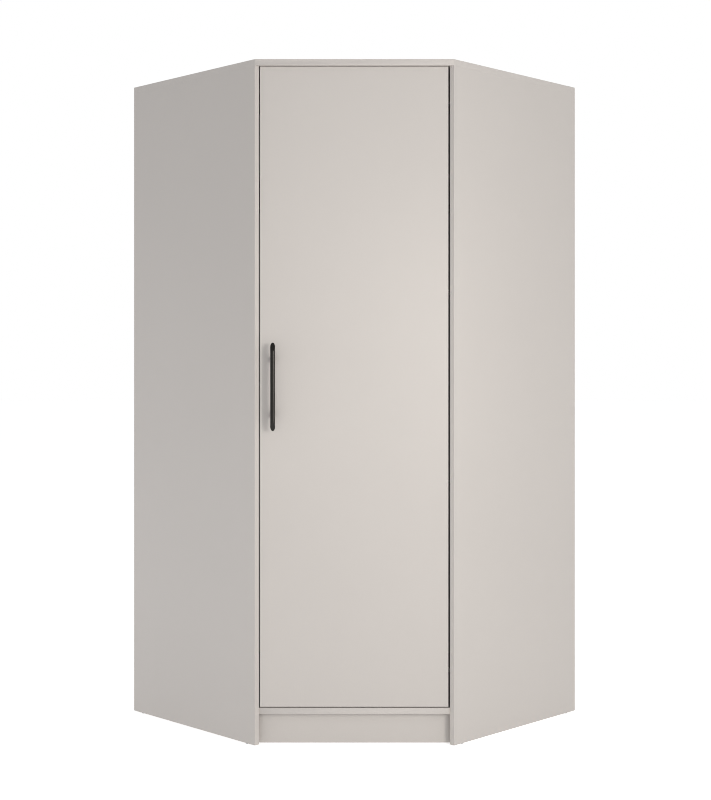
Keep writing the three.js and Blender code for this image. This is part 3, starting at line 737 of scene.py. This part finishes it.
TO_X = Matrix.Rotation(math.radians(90), 4, "Y")
rail_at = PLAN @ Matrix.Translation((0, RAIL_Y, RAIL_Z))
rail = hollow(stadium(30, 15), stadium(27.6, 12.6), -RAIL_L / 2, RAIL_L / 2)
bevel_sharp(rail, lambda m, a, b: 0.3, 2)
piece("rail_tube", rail, rail_at @ TO_X, ["rail"], "carcass", "nickel_steel", "hanging_rail")
for where, x0, d in (("left", -RAIL_L / 2, -1), ("right", RAIL_L / 2, 1)):
    plug = bevel_sharp(prism(stadium(27.2, 12.2), -9, 0), lambda m, a, b: 0.3, 2)
    lip = bevel_sharp(prism(stadium(30.4, 15.4), 0.05, 1.8), lambda m, a, b: 0.6, 3)
    plug = merged(plug, lip) if d > 0 else merged((plug, Matrix.Scale(-1, 4, (0, 0, 1))), (lip, Matrix.Scale(-1, 4, (0, 0, 1))))
    piece(f"rail_cap_{where}", plug, rail_at @ Matrix.Translation((x0, 0, 0)) @ TO_X, ["dark"], "carcass", "dark_plastic")

DROP = SHELF_LOW - RAIL_Z
for where, x in BRACKET_X.items():
    ring = hollow(stadium(36, 21), stadium(30.6, 15.6), -6, 6)
    ring = merged((bevel_sharp(ring, lambda m, a, b: 0.7, 2), TO_X))
    stem = bevel_sharp(box(-6, 6, -4, 4, 16.8, DROP - 1), lambda m, a, b: 0.7, 2)
    plate = bevel_sharp(box(-22, 22, -11, 11, DROP - 2.5, DROP), lambda m, a, b: 3.0 if abs(a.z) < 0.1 and abs(b.z) < 0.1 else 0.4, 4)
    body = boolean(ring, [stem, plate], "UNION")
    piece(f"rail_holder_{where}", body, rail_at @ Matrix.Translation((x, 0, 0)), ["nickel"], "carcass", "nickel_steel", f"rail_bracket_{where}")
    screws(
        f"rail_holder_screws_{where}",
        [((x - 15, RAIL_Y, SHELF_LOW - 2.5), (0, 0, -1), 0.2), ((x + 15, RAIL_Y, SHELF_LOW - 2.5), (0, 0, -1), 1.0)],
        PLAN, "carcass", "mid",
    )

# ------------------------------------------------------------------ handle
half = HANDLE_L / 2


def handle_bar(n=72):
    """A round bar whose ends are cut on a slant that faces the room, with a fine chamfer at each cut."""

    def plane_z(y):  # y is measured from the bar's axis, -R at the front
        return half - HANDLE_CUT + HANDLE_CUT * (y + HANDLE_R) / (2 * HANDLE_R)

    bm = bmesh.new()
    R = HANDLE_R - 0.002

    def ring(r, z_of):
        return [
            bm.verts.new((r * math.cos(2 * math.pi * i / n), r * math.sin(2 * math.pi * i / n), z_of(r * math.sin(2 * math.pi * i / n))))
            for i in range(n)
        ]

    k = math.sqrt(HANDLE_CUT**2 + (2 * HANDLE_R) ** 2) / (2 * HANDLE_R)
    steps = [0.0, 0.5, 0.9, 0.98]
    rings = []
    for way in (-1, 1):
        side = [ring(R, lambda y, t=t, w=way: w * t * (plane_z(y) - 1.4 * k * 0.5)) for t in steps[(1 if way > 0 else 0):]]
        side.append(ring(R, lambda y, w=way: w * (plane_z(y) - 0.5 * k)))
        side.append(ring(R - 0.12, lambda y, w=way: w * (plane_z(y) - 0.2 * k)))
        side.append(ring(R - 0.38, lambda y, w=way: w * (plane_z(y) - 0.04 * k)))
        side.append(ring(R - 0.75, lambda y, w=way: w * plane_z(y)))
        side.append(ring(R - 3.2, lambda y, w=way: w * plane_z(y)))
        rings = side[::-1] if way < 0 else rings + side
    for a, b in zip(rings, rings[1:]):
        for i in range(n):
            j = (i + 1) % n
            bm.faces.new((a[i], a[j], b[j], b[i]))
    bm.faces.new(rings[0][::-1])
    bm.faces.new(rings[-1])
    bmesh.ops.recalc_face_normals(bm, faces=bm.faces)
    return bm


piece("handle_grip", handle_bar(), PLAN @ Matrix.Translation((HANDLE_X, HANDLE_Y, HANDLE_Z)), ["black"], "door", "black_metal", "handle_bar")


def handle_post(n=18):
    """An oval post from the door to the bar, with a saddle end that follows the bar."""
    bm = bmesh.new()
    out = HANDLE_Y - FACE_Y  # bar axis, measured from the door's face

    def ring(inset, y_of):
        return [bm.verts.new((x, y_of(x), z)) for z, x in stadium(POST_TALL - 2 * inset, POST_WIDE - 2 * inset, n)]

    saddle = lambda x: out + math.sqrt(max(HANDLE_R**2 - x * x, 0)) - 0.15
    rings = [
        ring(3, lambda x: -0.05), ring(0.5, lambda x: -0.05), ring(0.15, lambda x: -0.2), ring(0, lambda x: -0.6),
        ring(0, lambda x: (saddle(x) - 0.6) / 2), ring(0, saddle), ring(3, saddle),
    ]
    for a, b in zip(rings, rings[1:]):
        for i in range(len(a)):
            j = (i + 1) % len(a)
            bm.faces.new((a[i], a[j], b[j], b[i]))
    bm.faces.new(rings[0][::-1])
    bm.faces.new(rings[-1])
    bmesh.ops.triangulate(bm, faces=[f for f in bm.faces if len(f.verts) > 4])
    bmesh.ops.recalc_face_normals(bm, faces=bm.faces)
    return bm


for where, z in POST_Z.items():
    piece(f"handle_stud_{where}", handle_post(), PLAN @ Matrix.Translation((HANDLE_X, FACE_Y, z)), ["black"], "door", "black_metal", f"handle_post_{where}")
    shank = merged(rod(2.0, (HANDLE_X, FACE_Y - 8, z), (HANDLE_X, DOOR_BACK + 0.3, z), 24), (HEADS["big"], aim((HANDLE_X, DOOR_BACK + 0.1, z), (0, 1, 0), 0.4)))
    piece(f"handle_bolt_{where}", shank, PLAN, ["zinc"], "door", "zinc_steel", f"handle_screw_{where}")


# ------------------------------------------------------------------ hinges
def off(a, h):
    return FRONT_X - SIDE_T * S + (a - h) * S, FACE_Y + (a + h) * S


def smooth_line(points, per=5):
    """Catmull-Rom through (x, y, half width)."""
    out = []
    p = [points[0]] + list(points) + [points[-1]]
    for i in range(1, len(p) - 2):
        for j in range(per):
            t = j / per
            out.append(
                tuple(
                    0.5 * (2 * b + (c - a) * t + (2 * a - 5 * b + 4 * c - d) * t * t + (3 * b - a - 3 * c + d) * t**3)
                    for a, b, c, d in zip(p[i - 1], p[i], p[i + 1], p[i + 2])
                )
            )
    out.append(points[-1])
    return out


def ribbon(points):
    left, right = [], []
    for i, (x, y, w) in enumerate(points):
        ax, ay = points[max(i - 1, 0)][:2]
        bx, by = points[min(i + 1, len(points) - 1)][:2]
        l = math.hypot(bx - ax, by - ay)
        nx, ny = -(by - ay) / l, (bx - ax) / l
        left.append((x + nx * w, y + ny * w))
        right.insert(0, (x - nx * w, y - ny * w))
    return left + right


px, py = PIVOT_X, PIVOT_Y
NECK = [
    (px - 1.0, py + 0.3, 1.1), (px - 8.5, py + 2.7, 1.1), (px - 17.0, py + 5.4, 1.2), (px - 20.6, py + 7.4, 1.3),
    (px - 22.8, py + 10.6, 1.5), (px - 22.6, py + 14.6, 1.9), (px - 20.0, py + 18.4, 2.4), (px - 15.6, py + 21.4, 2.9),
    (px - 9.0, py + 23.2, 3.3), (px - 1.0, py + 23.9, 3.6), (px + 8.0, py + 23.9, 3.8), (px + 17.0, py + 23.2, 3.9),
    (px + 24.5, py + 22.2, 4.0), (px + 31.0, py + 20.4, 4.0),
]


def rect(a0, a1, h0, h1):
    return [off(a0, h0), off(a1, h0), off(a1, h1), off(a0, h1)]


INWARD = (-S, S, 0)
neck = round_all(prism(ribbon(smooth_line(NECK)), -5, 5), 0.5, 2, 60)
base = round_all(prism(rect(23, 62, 6.3, 14.2), -5.5, 5.5), 0.9, 3)
knuckle = round_all(merged(rod(3.4, (px, py, -5), (px, py, 5), 32)), 0.3, 2)
ARM = boolean(neck, [base, knuckle], "UNION")
slots = []
for a0, a1, w in ((49.0, 58.0, 2.6), (30.0, 38.0, 2.4)):
    pts = [off(a0, 13.0), off(a1, 13.0), off(a1, 15.5), off(a0, 15.5)]
    slots.append(prism(pts, -w, w))
ARM = boolean(ARM, slots + [rod(1.8, (px, py, -8), (px, py, 8), 24)])
PLATE = boolean(
    round_all(prism(rect(20, 66, GAP, 6), -6, 6), 0.5, 2),
    [round_all(prism(rect(30, 50, GAP, 3.2), -27, 27), 1.0, 3)],
    "UNION",
)
cup_profile = [
    (0, 0), (CUP_R - 1.2, 0), (CUP_R - 0.3, 0.4), (CUP_R, 1.3), (CUP_R, CUP_DEPTH + 0.1), (20.2, CUP_DEPTH + 0.1),
    (20.5, CUP_DEPTH + 0.35), (20.5, CUP_DEPTH + 0.8), (20.1, CUP_DEPTH + 1.1), (CUP_R - 0.4, CUP_DEPTH + 1.1),
    (CUP_R - 0.85, CUP_DEPTH + 0.9), (CUP_R - 1, CUP_DEPTH + 0.3), (CUP_R - 1, 1.9), (CUP_R - 1.9, 1.0), (0, 1.0),
]
Y_UP = Matrix(((1, 0, 0, 0), (0, 0, 1, 0), (0, -1, 0, 0), (0, 0, 0, 1)))  # Z of the turned part becomes Y
shell = merged((lathe(cup_profile, 72), Y_UP))
wing_pts = [(-9.5 + x, z) for z, x in stadium(58, 15, 12)]
wings = merged((round_all(prism(wing_pts, CUP_DEPTH + 0.1, CUP_DEPTH + 1.15), 0.25, 2), Y_UP))
bore = merged((lathe([(0, 0.9), (CUP_R - 1.6, 0.9), (CUP_R - 1, 1.6), (CUP_R - 1, CUP_DEPTH + 3), (0, CUP_DEPTH + 3)], 72), Y_UP))
CUP = boolean(boolean(shell, [wings], "UNION"), [bore, rod(1.8, (px - CUP_X, py - (DOOR_BACK - CUP_DEPTH), -16), (px - CUP_X, py - (DOOR_BACK - CUP_DEPTH), 16), 24)])
PIN = round_all(merged(rod(1.5, (0, 0, -12.85), (0, 0, 12.85), 28)), 0.3, 2)
for where, z in HINGE_Z.items():
    up = PLAN @ Matrix.Translation((0, 0, z))
    piece(f"hinge_arm_{where}_pressing", merged(ARM), up, ["dark_nickel"], "carcass", "dark_nickel_steel", f"hinge_arm_{where}")
    piece(f"hinge_plate_{where}_pressing", merged(PLATE), up, ["dark_nickel"], "carcass", "dark_nickel_steel", f"hinge_plate_{where}")
    piece(
        f"hinge_cup_{where}_shell", merged(CUP), PLAN @ Matrix.Translation((CUP_X, DOOR_BACK - CUP_DEPTH, z)),
        ["dark_nickel"], "door", "dark_nickel_steel", f"hinge_cup_{where}",
    )
    piece(f"hinge_axle_{where}", merged(PIN), PLAN @ Matrix.Translation((px, py, z)), ["zinc"], "door", "zinc_steel", f"hinge_pin_{where}")
    at = lambda a, h, dz, z=z: (*off(a, h), z + dz)
    screws(f"hinge_plate_screws_{where}", [(at(40, 3.2, 20), INWARD, 0.3), (at(40, 3.2, -20), INWARD, 1.1)], PLAN, "carcass", "mid", "dark_nickel_steel", "dark_nickel")
    screws(f"hinge_arm_screws_{where}", [(at(53.5, 13.0, 0), INWARD, 0.6), (at(34, 13.0, 0), INWARD, 0.1)], PLAN, "carcass", "small", "dark_nickel_steel", "dark_nickel")
    wing_y = DOOR_BACK + 1.15
    screws(f"hinge_cup_screws_{where}", [((CUP_X - 9.5, wing_y, z + 23.5), (0, 1, 0), 0.5), ((CUP_X - 9.5, wing_y, z - 23.5), (0, 1, 0), 0.9)], PLAN, "door", "small", "dark_nickel_steel", "dark_nickel")

# ------------------------------------------------------------------ floor and light
floor_mesh = bpy.data.meshes.new("floor")
bm = bmesh.new()
bmesh.ops.create_grid(bm, x_segments=2, y_segments=2, size=40.0)
bm.to_mesh(floor_mesh)
floor = bpy.data.objects.new("floor", floor_mesh)
scene.collection.objects.link(floor)
fn = Nodes("floor_paper")
tone = fn.mix(fn.remap(fn.noise(0.8, 2.0), 0.3, 0.7, 0.0, 1.0), (0.80, 0.80, 0.80), (0.81, 0.81, 0.81))
fn.out(tone, 0.9, None, Specular_IOR_Level=0.0)
fn.bsdf.inputs["Emission Color"].default_value = (1, 1, 1, 1)
fn.bsdf.inputs["Emission Strength"].default_value = 0.56  # lit paper, white up to the horizon
floor_mesh.materials.append(fn.mat)

world = bpy.data.worlds.new("studio")
scene.world = world
world.use_nodes = True
wt = world.node_tree
bg = wt.nodes["Background"]
bg.inputs["Color"].default_value = (0.98, 1.0, 1.03, 1)
bg.inputs["Strength"].default_value = 0.56
seen = wt.nodes.new("ShaderNodeBackground")
seen.inputs["Color"].default_value = (1, 1, 1, 1)
seen.inputs["Strength"].default_value = 1.0
ray = wt.nodes.new("ShaderNodeLightPath")
both = wt.nodes.new("ShaderNodeMixShader")
wt.links.new(ray.outputs["Is Camera Ray"], both.inputs["Fac"])
wt.links.new(bg.outputs["Background"], both.inputs[1])
wt.links.new(seen.outputs["Background"], both.inputs[2])
wt.links.new(both.outputs["Shader"], wt.nodes["World Output"].inputs["Surface"])


def softbox(name, place, target, width, height, power, color=(1, 1, 1)):
    data = bpy.data.lights.new(name, "AREA")
    data.shape, data.size, data.size_y = "RECTANGLE", width, height
    data.energy, data.color = power, color
    o = bpy.data.objects.new(name, data)
    scene.collection.objects.link(o)
    o.location = place
    o.rotation_euler = (Vector(target) - Vector(place)).to_track_quat("-Z", "Y").to_euler()
    o.visible_camera = False
    return o


YC = Y_CENTRE / 1000
WARM, COOL = (1.025, 1.0, 0.955), (0.98, 1.0, 1.03)
softbox("key", (1.764, -2.5 - YC, 1.35), (-0.236, -YC, 1.05), 0.76, 0.8, 42.3, WARM)
softbox("near_key", (0.334, -0.8 - YC, 1.2), (-0.236, -YC, 1.05), 0.295, 0.3, 1.0, WARM)
softbox("front_fill", (0.0, -3.2 - YC, 2.6), (0.0, -YC, 1.3), 3.0, 1.2, 6.6)
softbox("overhead", (0.0, 0.9 - YC, 4.2), (0.0, 0.55 - YC, 2.0), 2.4, 1.6, 27.0)
softbox("side_fill", (-2.35, -YC, 0.28), (-0.48, 0.22 - YC, 0.38), 1.6, 0.45, 2.5, COOL)
softbox("side_fill_tall", (-2.35, -YC, 0.9), (-0.48, 0.22 - YC, 0.6), 1.6, 1.2, 2.8, COOL)
softbox("low_fill", (-0.5, -1.0 - YC, 0.15), (-0.1, -YC, 0.1), 1.0, 0.2, 0.5)

scene.cycles.filter_width = 1.05
scene.view_settings.view_transform = "Standard"
scene.view_settings.look = "None"
scene.view_settings.exposure = 0.0
scene.view_settings.gamma = 1.0

bpy.context.view_layer.update()
